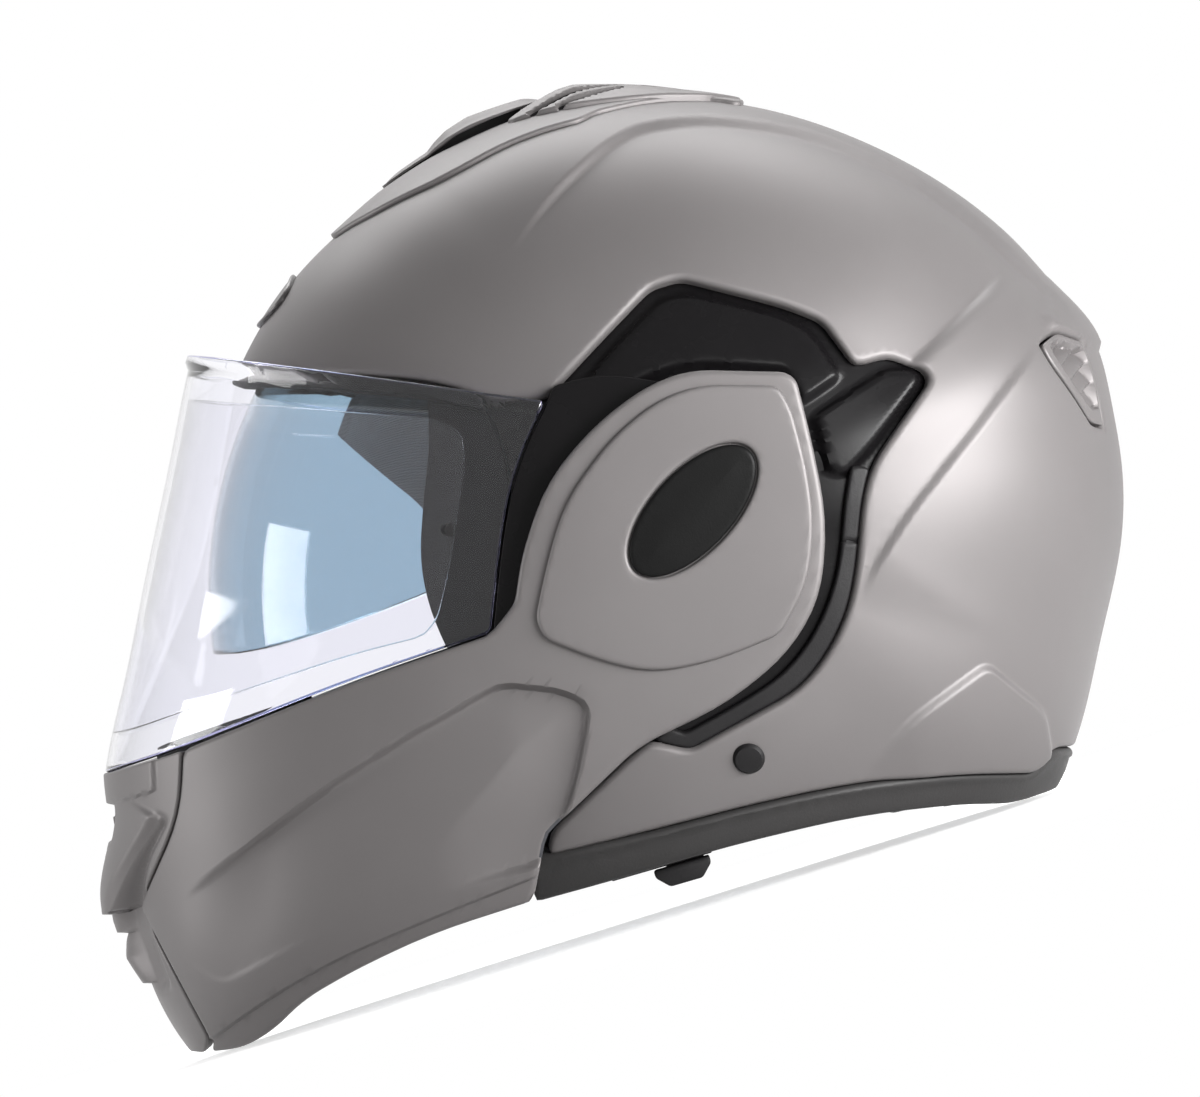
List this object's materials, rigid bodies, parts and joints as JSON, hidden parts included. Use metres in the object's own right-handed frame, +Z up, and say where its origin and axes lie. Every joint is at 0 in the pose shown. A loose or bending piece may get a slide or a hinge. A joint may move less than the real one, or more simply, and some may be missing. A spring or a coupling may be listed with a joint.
{
  "type": "modular motorcycle helmet",
  "caption": "Modular motorcycle helmet with a chin section that flips right back over the crown, a clear visor, an inner sun visor, vents and a ratchet strap.",
  "frame": {"origin": "centre of the bounding box on the table that the helmet stands on", "axes": "-X the front of the helmet, +Z up from the table, +Y the wearer's right side"},
  "size_m": [0.3711, 0.264, 0.2703],
  "materials": {
    "shell_paint": "satin metallic lacquer on a glass-fibre composite shell",
    "eps_foam": "expanded polystyrene bead foam",
    "lining_fabric": "brushed knit fabric on foam",
    "strap_web": "woven polyester webbing",
    "dark_trim": "soft PVC edge trim",
    "black_rubber": "moulded rubber seal",
    "gloss_black": "satin-gloss moulded ABS",
    "matt_black": "moulded nylon",
    "tongue_nylon": "moulded nylon",
    "steel": "zinc-plated pressed steel",
    "red_button": "moulded ABS",
    "clear_lens": "clear hard-coated polycarbonate",
    "insert_lens": "clear fog-resistant insert",
    "tinted_lens": "light blue tinted polycarbonate"
  },
  "bodies": {
    "helmet": {"outer_shell": "shell_paint", "eps_liner": "eps_foam", "comfort_liner": "lining_fabric", "cheek_block_left": "eps_foam", "cheek_block_right": "eps_foam", "cheek_pad_left": "lining_fabric", "cheek_pad_right": "lining_fabric", "neck_roll": "lining_fabric", "lower_edge_trim": "dark_trim", "eyeport_gasket": "black_rubber", "recess_tray_left": "gloss_black", "recess_tray_right": "gloss_black", "recess_trim_left": "matt_black", "recess_trim_right": "matt_black", "hinge_post_left": "steel", "hinge_post_right": "steel", "hinge_plate_left": "steel", "hinge_plate_right": "steel", "crown_vent_base": "shell_paint", "crown_vent_cover": "shell_paint", "rear_vent_left": "matt_black", "rear_vent_right": "matt_black", "strap_rivet_left": "matt_black", "strap_rivet_right": "matt_black", "strap_anchor_left": "steel", "strap_anchor_right": "steel", "chin_strap_left": "strap_web", "chin_strap_right": "strap_web", "buckle_body": "matt_black", "buckle_tongue": "tongue_nylon", "sun_pivot_left": "matt_black", "sun_pivot_right": "matt_black", "sun_slider_rail": "matt_black", "forehead_badge": "shell_paint", "latch_striker_left": "steel", "latch_striker_right": "steel"},
    "chin_section": {"chin_bar": "shell_paint", "pod_cover_left": "shell_paint", "pod_cover_right": "shell_paint", "pod_cap_left": "gloss_black", "pod_cap_right": "gloss_black", "chin_vent_frame": "shell_paint", "chin_liner": "eps_foam", "chin_pad": "lining_fabric", "breath_deflector": "black_rubber", "chin_curtain": "lining_fabric"},
    "clear_visor": {"visor_lens": "clear_lens", "visor_plate_left": "gloss_black", "visor_plate_right": "gloss_black", "antifog_lens": "insert_lens", "antifog_pin": "matt_black"},
    "sun_visor": {"sun_visor": "tinted_lens"},
    "sun_slider": {"sun_slider_knob": "matt_black"},
    "crown_slider": {"crown_vent_slider": "matt_black"},
    "chin_shutter": {"chin_vent_shutter": "matt_black"},
    "release_button": {"release_button": "red_button"},
    "latch_hooks": {"latch_hook_left": "steel", "latch_hook_right": "steel"},
    "buckle_lever": {"buckle_lever": "steel"}
  },
  "joints": [
    {"name": "chin_flip", "type": "hinge", "parent": "helmet", "child": "chin_section", "pos_m": [0.04423, 0, 0.12623], "axis": [0, 1, 0], "range_deg": [0, 180]},
    {"name": "visor_hinge", "type": "hinge", "parent": "chin_section", "child": "clear_visor", "pos_m": [0.04423, 0, 0.12623], "axis": [0, 1, 0], "range_deg": [0, 50]},
    {"name": "sun_visor_hinge", "type": "hinge", "parent": "helmet", "child": "sun_visor", "pos_m": [0.02011, 0, 0.10445], "axis": [0, 1, 0], "range_deg": [0, 38]},
    {"name": "sun_slider_slide", "type": "slide", "parent": "helmet", "child": "sun_slider", "axis": [-0.9998, 0, 0.0223], "range_m": [0, 0.014]},
    {"name": "crown_vent_slide", "type": "slide", "parent": "helmet", "child": "crown_slider", "axis": [0.9986, 0, 0.0532], "range_m": [0, 0.008]},
    {"name": "chin_shutter_slide", "type": "slide", "parent": "chin_section", "child": "chin_shutter", "axis": [0.2999, 0, 0.954], "range_m": [0, 0.009]},
    {"name": "release_press", "type": "slide", "parent": "chin_section", "child": "release_button", "axis": [0.2999, 0, 0.954], "range_m": [0, 0.004], "stiffness_N_per_m": 600},
    {"name": "latch_turn", "type": "hinge", "parent": "chin_section", "child": "latch_hooks", "pos_m": [-0.05703, 0, 0.04581], "axis": [0, -1, 0], "range_deg": [0, 15]},
    {"name": "buckle_lever_hinge", "type": "hinge", "parent": "helmet", "child": "buckle_lever", "pos_m": [0.03442, -0.043, 0.0257], "axis": [1, 0, 0], "range_deg": [0, 40], "stiffness_Nm_per_rad": 0.05}
  ],
  "couplings": [
    {"joint": "sun_visor_hinge", "follows": "sun_slider_slide", "rad_per_m": 47.3},
    {"joint": "latch_turn", "follows": "release_press", "rad_per_m": 64}
  ]
}
